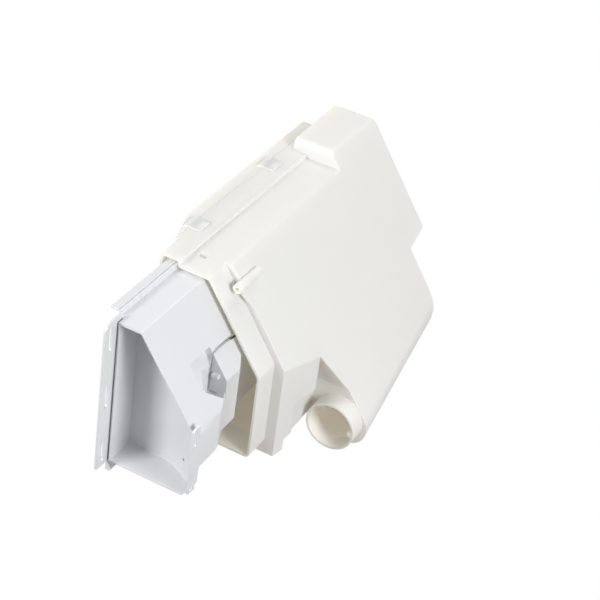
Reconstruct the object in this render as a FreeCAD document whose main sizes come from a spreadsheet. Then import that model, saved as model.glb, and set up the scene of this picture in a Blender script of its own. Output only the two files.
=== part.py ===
"""Washing machine detergent dispenser: moulded housing, cover, spray plate and pull-out drawer.

Use frame in millimetres: X to the right, Y to the rear, Z up, facing the machine.
The origin lies on the front plane of the collar, where its sloping side meets its floor.
"""
import FreeCAD
import Part
import Sketcher
import math
import os

doc = FreeCAD.newDocument("DispenserDrawer")
sheet = doc.addObject("Spreadsheet::Sheet", "Sizes")

# Driving sizes: alias and value in millimetres
SIZES = (
    # Housing walls and the collar that stands in the front panel
    ("housing_wall", 2.5),
    ("collar_depth", 30.0),
    ("mouth_right", 87.0),
    ("mouth_left", 96.0),
    ("mouth_top", 114.5),
    ("slope_rise", 63.4),
    ("channel_reach", 6.5),
    ("ledge_top", 98.0),
    ("ledge_left_width", 14.0),
    ("collar_round", 3.0),
    ("foot_round", 6.0),
    ("corner_round", 1.5),
    # Tub behind the collar
    ("tub_right", 92.0),
    ("tub_left", 104.0),
    ("tub_top", 120.0),
    ("tub_rear", 308.0),
    ("slope_drop", 11.5),
    ("band_left", 111.0),
    ("band_depth", 16.0),
    ("floor_front_drop", 14.0),
    ("floor_rear_drop", 24.0),
    ("floor_end", 89.0),
    ("tub_round", 7.0),
    ("front_tub_round", 24.0),
    ("hose_notch_front", 56.5),
    ("hose_notch_side", 58.0),
    ("snap_slot_height", 9.0),
    ("snap_slot_depth", 4.6),
    ("snap_slot_run", 6.0),
    ("snap_slot_low", 82.0),
    # Rear chamber at the right
    ("chamber_left", 6.5),
    ("chamber_right", 108.5),
    ("chamber_front", 250.0),
    ("chamber_rear", 346.0),
    ("chamber_top", 112.0),
    ("chamber_corner", 8.0),
    ("chamber_round", 6.0),
    # Sump and outlet spigot
    ("sump_left_front", 121.0),
    ("sump_left_rear", 91.0),
    ("sump_round", 22.0),
    ("sump_corner", 58.0),
    ("sump_shoulder_side", 57.0),
    ("sump_shoulder_back", 18.0),
    ("spigot_mouth", 87.0),
    ("spigot_radius", 27.0),
    ("spigot_inset", 0.25),
    ("spigot_wall", 2.2),
    ("spigot_inlet", 23.0),
    ("lug_width", 5.0),
    # Screw boss beside the collar
    ("boss_side", 76.0),
    ("boss_height", 41.5),
    ("boss_front", 18.0),
    ("boss_end", 58.0),
    ("boss_radius", 5.0),
    ("boss_bore", 2.0),
    ("gusset_run", 22.0),
    ("gusset_reach", 9.0),
    ("boss_bore_depth", 16.0),
    # Cover, its snap tongues and inlets
    ("cover_wall", 2.0),
    ("cover_front", 33.0),
    ("cover_shoulder", 72.0),
    ("cover_top", 132.0),
    ("snap_width", 20.0),
    ("snap_reach", 14.0),
    ("snap_first", 62.0),
    ("snap_pitch", 143.0),
    ("snap_window_width", 12.0),
    ("snap_window_height", 5.0),
    ("hook_height", 4.0),
    ("hook_reach", 1.0),
    ("fit_gap", 0.3),
    ("inlet_radius", 5.6),
    ("inlet_bore", 4.0),
    ("inlet_length", 26.0),
    ("inlet_side", 40.0),
    ("inlet_pitch", 42.0),
    ("barb_radius", 6.6),
    ("barb_length", 5.0),
    # Spray plate under the cover
    ("plate_thick", 2.0),
    ("plate_margin", 6.0),
    ("plate_hole", 2.3),
    ("plate_hole_sides", 8.0),
    ("plate_hole_pitch", 22.0),
    ("plate_first_row", 112.0),
    ("plate_first_column", 62.0),
    # Drawer shell
    ("drawer_wall", 2.2),
    ("drawer_out", 105.0),
    ("drawer_rear", 150.0),
    ("drawer_right", 85.0),
    ("drawer_left", 79.0),
    ("drawer_rim", 96.0),
    ("drawer_floor", 3.5),
    ("drawer_slope_clear", 7.3),
    ("corner_run", 13.0),
    ("corner_rise", 8.5),
    ("step_side", 50.0),
    ("step_floor", 40.0),
    ("drawer_round", 26.0),
    ("drawer_edge_round", 3.0),
    ("cup_end", 60.0),
    ("cup_rise_end", 32.0),
    ("mid_floor", 15.0),
    ("mid_end", 8.0),
    ("rear_floor", 24.0),
    ("rear_rise_end", 8.0),
    ("belly_round", 38.0),
    ("divider_side", 34.0),
    # Front recess of the drawer
    ("recess_depth", 33.0),
    ("recess_foot", 10.0),
    ("recess_knee", 45.0),
    ("recess_round", 45.0),
    ("slit_height", 1.6),
    ("slit_depth", 8.0),
    ("clip_hole", 1.6),
    ("clip_hole_first", 13.3),
    ("clip_hole_pitch", 44.0),
    ("clip_hole_height", 25.3),
    # Runners
    ("runner_reach", 6.0),
    ("runner_left_reach", 12.0),
    ("runner_height", 11.5),
    ("runner_lip", 2.2),
    ("runner_front", 95.0),
    ("runner_groove", 0.9),
    ("runner_groove_low", 2.2),
    ("stop_height", 11.5),
    ("stop_reach", 13.0),
    ("stop_length", 7.0),
    # Slotted tongues that carry the fascia
    ("tongue_thick", 2.2),
    ("tongue_reach", 18.0),
    ("tongue_right", 90.0),
    ("tongue_left", 80.0),
    ("tongue_round", 10.0),
    ("slot_length", 27.0),
    ("slot_width", 4.6),
    ("slot_pitch", 65.5),
    ("slot_first", 70.0),
    ("slot_setback", 8.5),
    ("low_tongue_reach", 8.0),
    ("low_tongue_back", 5.0),
    ("low_tongue_right", 9.0),
    ("low_tongue_left", 68.0),
    ("low_slot_length", 21.0),
    ("low_slot_width", 3.6),
    ("low_slot_first", 2.0),
    ("low_slot_pitch", 54.0),
    ("low_slot_setback", 3.0),
    # Catch pocket and wire
    ("pocket_roof", 33.5),
    ("pocket_sill", 15.0),
    ("pocket_front", 68.0),
    ("pocket_ramp_end", 42.0),
    ("pocket_back", 33.0),
    ("pocket_left", 8.0),
    ("well_low", 3.0),
    ("well_low_front", 48.0),
    ("well_corner", 13.3),
    ("well_front", 66.0),
    ("well_front_along", 20.0),
    ("well_high", 47.0),
    ("ramp_low", 23.0),
    ("ramp_high", 50.5),
    ("ramp_start", 1.2),
    ("ramp_deep", 8.0),
    ("hook_side", 10.0),
    ("hook_width", 4.5),
    ("hook_drop", 8.0),
    ("hook_out", 4.0),
    ("wire_radius", 0.9),
    ("wire_bend", 4.0),
    ("wire_tip_side", 37.0),
    ("wire_tip_back", 2.0),
    ("wire_tip_off", 4.0),
    ("wire_shoulder", 20.0),
    ("wire_left", 6.2),
    ("wire_foot", 6.4),
    ("wire_stand", 1.5),
    ("wire_lift", 0.4),
    ("sleeve_radius", 1.4),
    ("sleeve_length", 9.0),
    # Siphon in the softener compartment
    ("siphon_back", 112.0),
    ("pipe_radius", 4.5),
    ("pipe_bore", 3.0),
    ("pipe_height", 30.0),
    ("cap_radius", 9.0),
    ("cap_wall", 1.6),
    ("cap_foot", 4.0),
    ("cap_plate_front", 66.0),
    ("cap_plate_thick", 2.0),
    ("cap_gap", 0.4),
    ("cap_head", 6.0),
    ("cap_ledge", 3.0),
    # Flushing outlets in the drawer's rear wall
    ("outlet_height", 22.0),
    ("outlet_width", 44.0),
    # How far cutting outlines stand clear of the whole part
    ("cut_reach", 300.0),
    ("cut_clear", 5.0),
)
for row, (alias, value) in enumerate(SIZES, start=1):
    sheet.set(f"A{row}", alias)
    sheet.set(f"B{row}", str(value))
    sheet.setAlias(f"B{row}", alias)
doc.recompute()


class Size:
    """A size with the expression that binds it to the sheet and its present value."""

    def __init__(self, text, value):
        self.text = text
        self.value = value

    @staticmethod
    def of(item):
        """Return item as a Size, a plain number standing for itself."""
        return item if isinstance(item, Size) else Size(repr(float(item)), float(item))

    def join(self, sign, other, value):
        """Return the Size of two expressions joined by an arithmetic sign."""
        return Size(f"({self.text} {sign} {other.text})", value)

    def __add__(self, other):
        other = Size.of(other)
        return self.join("+", other, self.value + other.value)

    def __sub__(self, other):
        other = Size.of(other)
        return self.join("-", other, self.value - other.value)

    def __mul__(self, other):
        other = Size.of(other)
        return self.join("*", other, self.value * other.value)

    def __truediv__(self, other):
        other = Size.of(other)
        return self.join("/", other, self.value / other.value)

    def __neg__(self):
        return Size(f"(0 - {self.text})", -self.value)

    def root(self):
        """Return the square root of this Size."""
        return Size(f"sqrt({self.text})", math.sqrt(self.value))


def size(alias):
    """Return the Size held by one cell of the sheet."""
    return Size(f"Sizes.{alias}", float(sheet.get(alias)))


ZERO = Size("0", 0.0)
PLANES = {"XY": "XY_Plane", "XZ": "XZ_Plane", "YZ": "YZ_Plane"}


def origin_plane(body, plane):
    """Return a body's own origin plane by its role."""
    return [item for item in body.Origin.OriginFeatures if item.Role == PLANES[plane]][0]


def profile(body, name, plane, level, points):
    """Draw a closed outline on an origin plane, each corner held by two sheet-bound distances."""
    sketch = body.newObject("Sketcher::SketchObject", name)
    sketch.AttachmentSupport = (origin_plane(body, plane), [""])
    sketch.MapMode = "FlatFace"
    offset = -level if plane == "XZ" else level
    sketch.setExpression("AttachmentOffset.Base.z", offset.text)
    corners = [FreeCAD.Vector(u.value, v.value, 0) for u, v in points]
    count = len(corners)
    for index in range(count):
        sketch.addGeometry(Part.LineSegment(corners[index], corners[(index + 1) % count]), False)
    for index in range(count):
        sketch.addConstraint(Sketcher.Constraint("Coincident", index, 2, (index + 1) % count, 1))
    for index, (u, v) in enumerate(points):
        for kind, place in (("DistanceX", u), ("DistanceY", v)):
            number = sketch.addConstraint(Sketcher.Constraint(kind, -1, 1, index, 1, place.value))
            sketch.setExpression(f"Constraints[{number}]", place.text)
    return sketch


def pad(body, sketch, length):
    """Raise an outline along +X, +Y or +Z."""
    feature = body.newObject("PartDesign::Pad", f"{sketch.Name}_pad")
    feature.Profile = sketch
    feature.Reversed = sketch.AttachmentSupport[0][0].Role == PLANES["XZ"]
    feature.setExpression("Length", length.text)
    return feature


def corner_edges(shape, plane, corner):
    """Name the edges that run along a raised outline's axis through one of its corners."""
    axes = {"XY": (0, 1), "XZ": (0, 2), "YZ": (1, 2)}[plane]
    found = []
    for number, edge in enumerate(shape.Edges, start=1):
        ends = [vertex.Point for vertex in edge.Vertexes]
        if all(abs(end[axis] - place.value) < 1e-4 for end in ends for axis, place in zip(axes, corner)):
            found.append(f"Edge{number}")
    return found


def prism(name, plane, start, end, points, rounds=()):
    """Make a body from one outline raised between two levels, with some of its corners rounded."""
    body = doc.addObject("PartDesign::Body", name)
    feature = pad(body, profile(body, f"{name}_outline", plane, start, points), end - start)
    for number, (corner, radius) in enumerate(rounds, start=1):
        doc.recompute()
        edges = corner_edges(feature.Shape, plane, points[corner])
        rounded = body.newObject("PartDesign::Fillet", f"{name}_round_{number}")
        rounded.Base = (feature, edges)
        rounded.setExpression("Radius", radius.text)
        feature = rounded
    return body


def box(name, low, high):
    """Make a bound block between two corners."""
    block = doc.addObject("Part::Box", name)
    for axis, side, a, b in zip("xyz", ("Length", "Width", "Height"), low, high):
        block.setExpression(f"Placement.Base.{axis}", a.text)
        block.setExpression(side, (b - a).text)
    return block


TURNS = {
    "x": FreeCAD.Rotation(FreeCAD.Vector(0, 1, 0), 90),
    "y": FreeCAD.Rotation(FreeCAD.Vector(1, 0, 0), -90),
    "z": FreeCAD.Rotation(),
}


def rod(name, axis, start, length, radius):
    """Make a bound cylinder from a start point along +X, +Y or +Z."""
    cylinder = doc.addObject("Part::Cylinder", name)
    cylinder.Placement = FreeCAD.Placement(FreeCAD.Vector(), TURNS[axis])
    for letter, place in zip("xyz", start):
        cylinder.setExpression(f"Placement.Base.{letter}", place.text)
    cylinder.setExpression("Radius", radius.text)
    cylinder.setExpression("Height", length.text)
    return cylinder


def fuse(name, *items):
    """Join solids into one."""
    joined = doc.addObject("Part::MultiFuse", name)
    joined.Shapes = list(items)
    joined.Refine = True
    return joined


def cut(name, base, tool):
    """Take one solid out of another."""
    result = doc.addObject("Part::Cut", name)
    result.Base = base
    result.Tool = tool
    result.Refine = True
    return result


def common(name, *items):
    """Keep what solids share."""
    result = doc.addObject("Part::MultiCommon", name)
    result.Shapes = list(items)
    return result


# Shared geometry: the sloping side and its offsets
wall = size("housing_wall")
gap = size("fit_gap")
mouth_right = size("mouth_right")
mouth_left = size("mouth_left")
mouth_top = size("mouth_top")
collar_depth = size("collar_depth")
ledge_top = size("ledge_top")
slant = size("slope_rise") / mouth_right
slant_stretch = (slant * slant + 1).root()
channel_right = mouth_right + size("channel_reach")
tub_right = size("tub_right")
tub_left = size("tub_left")
tub_top = size("tub_top")
tub_rear = size("tub_rear")
slope_drop = size("slope_drop")
floor_front = -size("floor_front_drop")
floor_rear = -size("floor_rear_drop")
floor_end = size("floor_end")
band_rear = collar_depth + size("band_depth")
low = -size("cut_reach")
BEYOND = size("cut_clear")


def mouth_slope(x):
    """Height of the collar's sloping side inside its mouth."""
    return slant * x


def collar_slope(x):
    """Height of the collar's sloping side on its outside."""
    return mouth_slope(x) - wall * slant_stretch


def tub_slope(x):
    """Height of the tub's sloping underside."""
    return slant * x - slope_drop


def tub_slope_inside(x):
    """Height of the tub's sloping floor, one wall inside the underside."""
    return tub_slope(x) + wall * slant_stretch


def where_slope_is(height):
    """Side position where the tub's underside has a given height."""
    return (height + slope_drop) / slant


def where_slope_inside_is(height):
    """Side position where the tub's inner floor has a given height."""
    return (height + slope_drop - wall * slant_stretch) / slant


# Collar: a five-sided ring with a runner channel at its upper right
def ring_outline(grow):
    """Outline of the mouth, grown outwards by a wall."""
    foot = (-grow + grow * slant_stretch) / slant
    return [
        (mouth_right + grow, ledge_top - grow),
        (mouth_right + grow, mouth_slope(mouth_right + grow) - grow * slant_stretch),
        (foot, -grow),
        (-mouth_left - grow, -grow),
        (-mouth_left - grow, mouth_top + grow),
        (channel_right + grow, mouth_top + grow),
        (channel_right + grow, ledge_top - grow),
    ]


collar_round = size("collar_round")
foot_round = size("foot_round")
collar = prism("collar", "XZ", ZERO, collar_depth + wall, ring_outline(wall), (
    (2, foot_round + wall), (3, collar_round + wall), (4, collar_round), (5, collar_round)))
mouth = prism("mouth", "XZ", -BEYOND, collar_depth + wall + BEYOND, ring_outline(ZERO), (
    (1, size("corner_round")), (2, foot_round), (3, collar_round), (4, collar_round - 1.0),
    (5, collar_round - 1.0)))
draft = common(
    "draft",
    prism("draft_plan", "XY", low, ledge_top - wall, [
        (mouth_right, gap), (mouth_right + wall, gap), (tub_right, collar_depth),
        (tub_right, collar_depth + gap), (mouth_right, collar_depth + gap)]),
    prism("draft_slab", "XZ", ZERO, band_rear, [
        (mouth_right - BEYOND, collar_slope(mouth_right - BEYOND)),
        (tub_right + BEYOND, collar_slope(tub_right + BEYOND)),
        (tub_right + BEYOND, ledge_top), (mouth_right - BEYOND, ledge_top)]))


# Tub: band behind the collar, main trough with a sloping side, rear chamber and sump
def trough_outline(right, left, channel, ledge, slope, foot, top):
    """Outline of the tub across its length."""
    return [
        (right, ledge),
        (right, slope(right)),
        (foot, slope(foot)),
        (-left, slope(foot)),
        (-left, top),
        (channel, top),
        (channel, ledge),
    ]


outside = {"right": tub_right, "channel": channel_right + wall, "ledge": ledge_top - wall}
inside = {"right": tub_right - wall, "channel": channel_right, "ledge": ledge_top}
tub_round = size("tub_round")
outer_rounds = ((1, tub_round),)
inner_rounds = ((1, tub_round - wall),)
band = prism(
    "band", "XZ", collar_depth, band_rear,
    trough_outline(outside["right"], size("band_left"), outside["channel"], outside["ledge"],
                   tub_slope, where_slope_is(floor_rear), tub_top), outer_rounds)
front_tub = prism(
    "front_tub", "XZ", collar_depth, floor_end,
    trough_outline(outside["right"], tub_left, outside["channel"], outside["ledge"],
                   tub_slope, where_slope_is(floor_rear), tub_top),
    outer_rounds + ((3, size("front_tub_round")),))


def falling_side(name, raise_by, start, end, top):
    """Side view of the front tub, whose floor falls to the rear."""
    fall = (floor_front - floor_rear) / (floor_end - collar_depth)
    return prism(name, "YZ", low, -low, [
        (start, top), (end, top),
        (end, floor_front - fall * (end - collar_depth) + raise_by),
        (start, floor_front - fall * (start - collar_depth) + raise_by),
    ])


def hose_notch(name, grow):
    """Notch in the front tub's left foot that leaves room for the hose, grown by a wall for its skin."""
    return box(name, (-size("band_left") - BEYOND, size("hose_notch_front") - grow, low),
               (-size("hose_notch_side") + grow, floor_end + BEYOND, floor_front + grow))


front_form = cut("front_form", common(
    "front_whole", fuse("front_blank", band, front_tub),
    falling_side("front_side", ZERO, collar_depth, floor_end, tub_top)), hose_notch("hose_notch", ZERO))
rear_tub = prism(
    "rear_tub", "XZ", floor_end - wall, tub_rear,
    trough_outline(outside["right"], tub_left, outside["channel"], outside["ledge"],
                   tub_slope, where_slope_is(floor_front), tub_top),
    outer_rounds + ((3, tub_round),))
chamber_corner = size("chamber_corner")
chamber_left = -size("chamber_left")
chamber_right = size("chamber_right")
chamber_front = size("chamber_front")
chamber_rear = size("chamber_rear")
chamber_top = size("chamber_top")


def chamber_form(name, shrink, slope):
    """Rear chamber with the tub's sloping underside and a bevelled upper rear corner."""
    bevel = chamber_corner - shrink * (2 - math.sqrt(2))
    top = chamber_top - shrink
    rear = chamber_rear - shrink
    across = prism(f"{name}_across", "XZ", chamber_front + shrink, rear, [
        (chamber_right - shrink, top),
        (chamber_right - shrink, slope(chamber_right - shrink)),
        (chamber_left + shrink, slope(chamber_left + shrink)),
        (chamber_left + shrink, top),
    ], ((1, tub_round - shrink),))
    along = prism(f"{name}_along", "YZ", chamber_left, chamber_right, [
        (chamber_front, low), (rear, low), (rear, top - bevel), (rear - bevel, top),
        (chamber_front, top),
    ])
    above = prism(f"{name}_above", "XY", low, top, [
        (chamber_left + shrink, chamber_front), (chamber_right - shrink, chamber_front + shrink),
        (chamber_right - shrink, rear), (shrink, rear), (chamber_left + shrink, tub_rear)],
        ((1, size("chamber_round") - shrink), (2, size("chamber_round") - shrink)))
    return common(name, across, along, above)


def sump_form(name, shrink, roof, slope, where):
    """Wedge under the rear tub: sloping floor, tapering left wall and a rounded low edge."""
    body = doc.addObject("PartDesign::Body", name)
    side_front = -size("sump_left_front") + shrink
    side_rear = -size("sump_left_rear") + shrink
    front = floor_end + shrink
    rear = tub_rear - shrink
    pad(body, profile(body, f"{name}_wedge", "XZ", front, [
        (where(roof), roof), (side_front, slope(side_front)), (side_front, roof)]), rear - front)
    taper = body.newObject("PartDesign::Pocket", f"{name}_taper")
    shoulder_back = floor_end + size("sump_shoulder_back") + shrink
    taper.Profile = profile(body, f"{name}_plan", "XY", roof + BEYOND, [
        (side_front - BEYOND, shoulder_back), (side_front, shoulder_back), (side_rear, rear),
        (side_rear, rear + BEYOND), (side_front - BEYOND, rear + BEYOND)])
    taper.Type = "ThroughAll"
    shoulder = body.newObject("PartDesign::Pocket", f"{name}_shoulder")
    shoulder.Profile = profile(body, f"{name}_shoulder_plan", "XY", roof + BEYOND, [
        (where_slope_is(floor_rear), front - BEYOND), (where_slope_is(floor_rear), front),
        (-size("sump_shoulder_side"), shoulder_back), (side_front - BEYOND, shoulder_back),
        (side_front - BEYOND, front - BEYOND)])
    shoulder.Type = "ThroughAll"
    doc.recompute()
    lowest = min(shoulder.Shape.Vertexes, key=lambda vertex: vertex.Z).Point
    edges = [
        index for index, edge in enumerate(shoulder.Shape.Edges, start=1)
        if edge.Length > (tub_rear - floor_end).value / 2
        and min((vertex.Point - lowest).Length for vertex in edge.Vertexes) < 0.01
        and abs(edge.Vertexes[0].X - edge.Vertexes[1].X) > 1
    ]
    rounded = body.newObject("PartDesign::Fillet", f"{name}_round")
    rounded.Base = (shoulder, [f"Edge{index}" for index in edges])
    rounded.setExpression("Radius", (size("sump_round") - shrink).text)
    above = prism(f"{name}_above", "XY", low, roof, [
        (side_front, front), (tub_right, front), (tub_right, rear), (side_rear, rear),
        (side_front, shoulder_back)], ((3, size("sump_corner") - shrink),))
    return common(f"{name}_cornered", body, above)


spigot_radius = size("spigot_radius")
spigot_bore = spigot_radius - size("spigot_wall")
spigot_clear = spigot_radius + size("spigot_inset")
spigot_side = -size("sump_left_front") + spigot_clear
spigot_height = tub_slope(spigot_side) + spigot_clear * slant_stretch
spigot_mouth = size("spigot_mouth")
spigot_run = floor_end + size("sump_shoulder_back") + gap - spigot_mouth
spigot = rod("spigot", "y", (spigot_side, spigot_mouth, spigot_height), spigot_run, spigot_radius)
boss = rod("boss", "y", (size("boss_side"), size("boss_front"), size("boss_height")),
           size("boss_end") - size("boss_front"), size("boss_radius"))

# Spaces inside the tub
front_room = cut("front_room", common(
    "front_space",
    prism("front_room_across", "XZ", collar_depth + wall, floor_end + wall,
          trough_outline(inside["right"], tub_left - wall, inside["channel"], inside["ledge"],
                         tub_slope_inside, where_slope_inside_is(floor_rear + wall),
                         tub_top + BEYOND), inner_rounds + ((3, size("front_tub_round") - wall),)),
    falling_side("front_room_side", wall, collar_depth + wall, floor_end - wall, tub_top + BEYOND)),
    hose_notch("hose_notch_skin", wall))
rear_room = prism(
    "rear_room", "XZ", floor_end - wall, tub_rear - wall,
    trough_outline(inside["right"], tub_left - wall, inside["channel"], inside["ledge"],
                   tub_slope_inside, where_slope_inside_is(floor_front + wall), tub_top + BEYOND),
    inner_rounds + ((3, tub_round - wall),))
chamber_room = chamber_form("chamber_room", wall, tub_slope_inside)
sump_room = sump_form("sump_room", wall, floor_front - wall, tub_slope_inside, where_slope_inside_is)
sump_throat = common(
    "sump_throat",
    sump_form("throat_wedge", wall, floor_front + wall, tub_slope_inside, where_slope_inside_is),
    box("throat_side", (-tub_left + wall, floor_end, low), (tub_right, tub_rear, tub_top)))
spigot_hole = rod("spigot_hole", "y", (spigot_side, spigot_mouth - BEYOND, spigot_height),
                  size("spigot_inlet") + BEYOND, spigot_bore)
boss_hole = rod("boss_hole", "y", (size("boss_side"), size("boss_front") - BEYOND,
                                   size("boss_height")),
                size("boss_bore_depth") + BEYOND, size("boss_bore"))
gusset = common(
    "gusset",
    prism("gusset_plan", "XY", low, tub_top, [
        (size("boss_side"), collar_depth + gap),
        (size("boss_side") - size("gusset_run"), collar_depth + gap),
        (size("boss_side"), collar_depth - size("gusset_reach"))]),
    prism("gusset_slab", "XZ", ZERO, band_rear, [
        (tub_right, tub_slope(tub_right)), (tub_right, tub_slope_inside(tub_right)),
        (ZERO, tub_slope_inside(ZERO)), (ZERO, tub_slope(ZERO))]))
snap_slot = box(
    "snap_slot", (tub_right + gap * 4 - size("snap_slot_depth"), collar_depth - size("snap_slot_run"),
                  size("snap_slot_low")),
    (tub_right + BEYOND, collar_depth, size("snap_slot_low") + size("snap_slot_height")))
trough_form = fuse("trough_form", collar, draft, gusset, front_form, rear_tub,
                   chamber_form("chamber", ZERO, tub_slope),
                   sump_form("sump", ZERO, floor_front, tub_slope, where_slope_is), spigot, boss)
trough_room = fuse("trough_room", mouth, front_room, rear_room, chamber_room, sump_room,
                   sump_throat, spigot_hole, boss_hole)
shell = cut("trough_shell", trough_form, fuse("trough_holes", trough_room, snap_slot))

# Runner ledge along the left wall, lug inside the spigot and hooks for the cover's tongues
ledge_left = box(
    "ledge_left", (-tub_left + wall - gap, collar_depth, ledge_top - wall),
    (-tub_left + wall + size("ledge_left_width"), tub_rear - wall, ledge_top))
ledge_right = box(
    "ledge_right", (mouth_right, collar_depth, ledge_top - wall),
    (tub_right - wall + gap, tub_rear - wall, ledge_top))
lug = box(
    "lug", (spigot_side - size("lug_width") / 2, spigot_mouth, spigot_height - spigot_bore - gap),
    (spigot_side + size("lug_width") / 2, spigot_mouth + size("lug_width"),
     spigot_height - spigot_bore + size("lug_width")))
snap_width = size("snap_width")
snap_low = tub_top - size("snap_reach")
window_low = snap_low + size("hook_reach") + gap
window_high = window_low + size("snap_window_height")
window_half = size("snap_window_width") / 2
snap_places = [size("snap_first") + size("snap_pitch") * number for number in range(2)]
snap_sides = (("right", channel_right + wall, 1), ("left", -tub_left, -1))


def span(side_name, face, sign, near, far):
    """Low and high side positions of a strip between two distances outside a wall."""
    if sign > 0:
        return face + near, face + far
    return face - far, face - near


hooks = []
for side_name, face, sign in snap_sides:
    for number, place in enumerate(snap_places, start=1):
        across = span(side_name, face, sign, -gap, size("hook_reach"))
        hooks.append(box(f"hook_{side_name}_{number}",
                         (across[0], place - window_half + gap, window_high - size("hook_height")),
                         (across[1], place + window_half - gap, window_high - gap)))
trough = fuse("trough", shell, ledge_left, ledge_right, lug, *hooks)
trough.Label = "housing_trough"

# Cover: a shallow lid with a ramped front, channel walls, snap tongues and two inlets
cover_wall = size("cover_wall")
cover_front = size("cover_front")
cover_top = size("cover_top")
cover_shoulder = size("cover_shoulder")
plate_top = tub_top + size("plate_thick")
lid = prism("lid", "YZ", -tub_left, channel_right + wall, [
    (cover_front, tub_top), (tub_rear, tub_top), (tub_rear, cover_top),
    (cover_shoulder, cover_top)])
ramp = (cover_top - tub_top) / (cover_shoulder - cover_front)
ramp_stretch = (ramp * ramp + 1).root()
room_front = cover_front + cover_wall * ramp_stretch / ramp
lid_room = prism("lid_room", "YZ", -tub_left + cover_wall, channel_right + wall - cover_wall, [
    (room_front, tub_top), (room_front, tub_top - BEYOND), (tub_rear - cover_wall, tub_top - BEYOND),
    (tub_rear - cover_wall, cover_top - cover_wall),
    (room_front + (cover_top - cover_wall - tub_top) / ramp, cover_top - cover_wall)])
cover_shell = cut("cover_shell", lid, lid_room)
channel_walls = [
    box(f"channel_wall_{number}", (side, cover_shoulder, plate_top),
        (side + cover_wall, tub_rear - cover_wall + gap, cover_top - cover_wall + gap))
    for number, side in enumerate((-size("step_side"), size("divider_side")), start=1)
]
tongues = []
windows = []
for side_name, face, sign in snap_sides:
    for number, place in enumerate(snap_places, start=1):
        low_side, high_side = span(side_name, face, sign, ZERO, cover_wall)
        join_low, join_high = span(side_name, face, sign, -cover_wall, cover_wall)
        hang = box(f"tongue_{side_name}_{number}",
                   (low_side, place - snap_width / 2, snap_low),
                   (high_side, place + snap_width / 2, tub_top + cover_wall * 2))
        root = box(f"tongue_root_{side_name}_{number}",
                   (join_low, place - snap_width / 2, tub_top + gap),
                   (join_high, place + snap_width / 2, tub_top + cover_wall * 2))
        tongues.extend((hang, root))
        window_reach = size("hook_reach") + gap if sign > 0 else cover_wall * 2
        reach_low, reach_high = span(side_name, face, sign, -gap, window_reach)
        windows.append(box(f"window_{side_name}_{number}",
                           (reach_low, place - window_half, window_low),
                           (reach_high, place + window_half, window_high)))
inlet_height = (tub_top + cover_top) / 2
inlets = []
inlet_bores = []
for number in range(2):
    side = size("inlet_side") - size("inlet_pitch") * number
    start = tub_rear - cover_wall
    inlets.append(rod(f"inlet_{number + 1}", "y", (side, start, inlet_height),
                      size("inlet_length") + cover_wall, size("inlet_radius")))
    inlets.append(rod(f"barb_{number + 1}", "y",
                      (side, tub_rear + size("inlet_length") - size("barb_length"), inlet_height),
                      size("barb_length"), size("barb_radius")))
    inlet_bores.append(rod(f"inlet_bore_{number + 1}", "y",
                           (side, start - BEYOND, inlet_height),
                           size("inlet_length") + cover_wall + BEYOND * 2, size("inlet_bore")))
cover = cut("cover", fuse("cover_form", cover_shell, *channel_walls, *tongues, *inlets),
            fuse("cover_holes", *windows, *inlet_bores))
cover.Label = "housing_cover"

# Spray plate: closes the water channels from below, drilled over the compartments
plate_margin = size("plate_margin")
plate_blank = box("plate_blank",
                  (-tub_left + cover_wall + gap, cover_shoulder, tub_top),
                  (channel_right + wall - cover_wall - gap, tub_rear - cover_wall - gap, plate_top))
plate_hole = doc.addObject("Part::Prism", "plate_hole")
plate_hole.setExpression("Polygon", size("plate_hole_sides").text)
plate_hole.setExpression("Circumradius", size("plate_hole").text)
plate_hole.setExpression("Height", (size("plate_thick") + BEYOND * 2).text)
plate_hole.setExpression("Placement.Base.x", (-size("plate_first_column")).text)
plate_hole.setExpression("Placement.Base.y", size("plate_first_row").text)
plate_hole.setExpression("Placement.Base.z", (tub_top - BEYOND).text)
plate_holes = doc.addObject("Part::Feature", "plate_holes")
hole_pitch = size("plate_hole_pitch")
doc.recompute()
columns = int((tub_left + tub_right - plate_margin * 2).value // hole_pitch.value) - 1
rows = 4
plate_holes.Shape = Part.makeCompound([
    plate_hole.Shape.translated(FreeCAD.Vector(column * hole_pitch.value, row * hole_pitch.value, 0))
    for column in range(columns) for row in range(rows)])
plate = cut("plate", plate_blank, plate_holes)
plate.Label = "spray_plate"

# Drawer shell: five-sided section, front recess, stepped softener side and compartments
drawer_wall = size("drawer_wall")
drawer_front = -size("drawer_out")
drawer_rear = size("drawer_rear")
drawer_right = size("drawer_right")
drawer_left = size("drawer_left")
drawer_rim = size("drawer_rim")
drawer_floor = size("drawer_floor")
slope_clear = size("drawer_slope_clear")
step_side = size("step_side")
step_floor = size("step_floor")


def drawer_slope(x):
    """Height of the drawer's sloping underside."""
    return slant * x + slope_clear


def drawer_outline(shrink, top):
    """Outline of the drawer across its length, shrunk inwards by a wall."""
    lift = shrink * slant_stretch
    floor = drawer_floor + shrink
    run = size("corner_run")
    rise = size("corner_rise")
    return [
        (drawer_right - shrink, top),
        (drawer_right - shrink, drawer_slope(drawer_right - shrink) + lift),
        ((floor - slope_clear - lift) / slant, floor),
        (-drawer_left + run, floor),
        (-drawer_left + shrink, drawer_floor + rise),
        (-drawer_left + shrink, top),
    ]


back_wall = drawer_front + size("recess_depth")
recess_foot = drawer_front + size("recess_foot")
recess_knee = size("recess_knee")
drawer_round = size("drawer_round")
edge_round = size("drawer_edge_round")
recess_round = size("recess_round")


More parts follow.
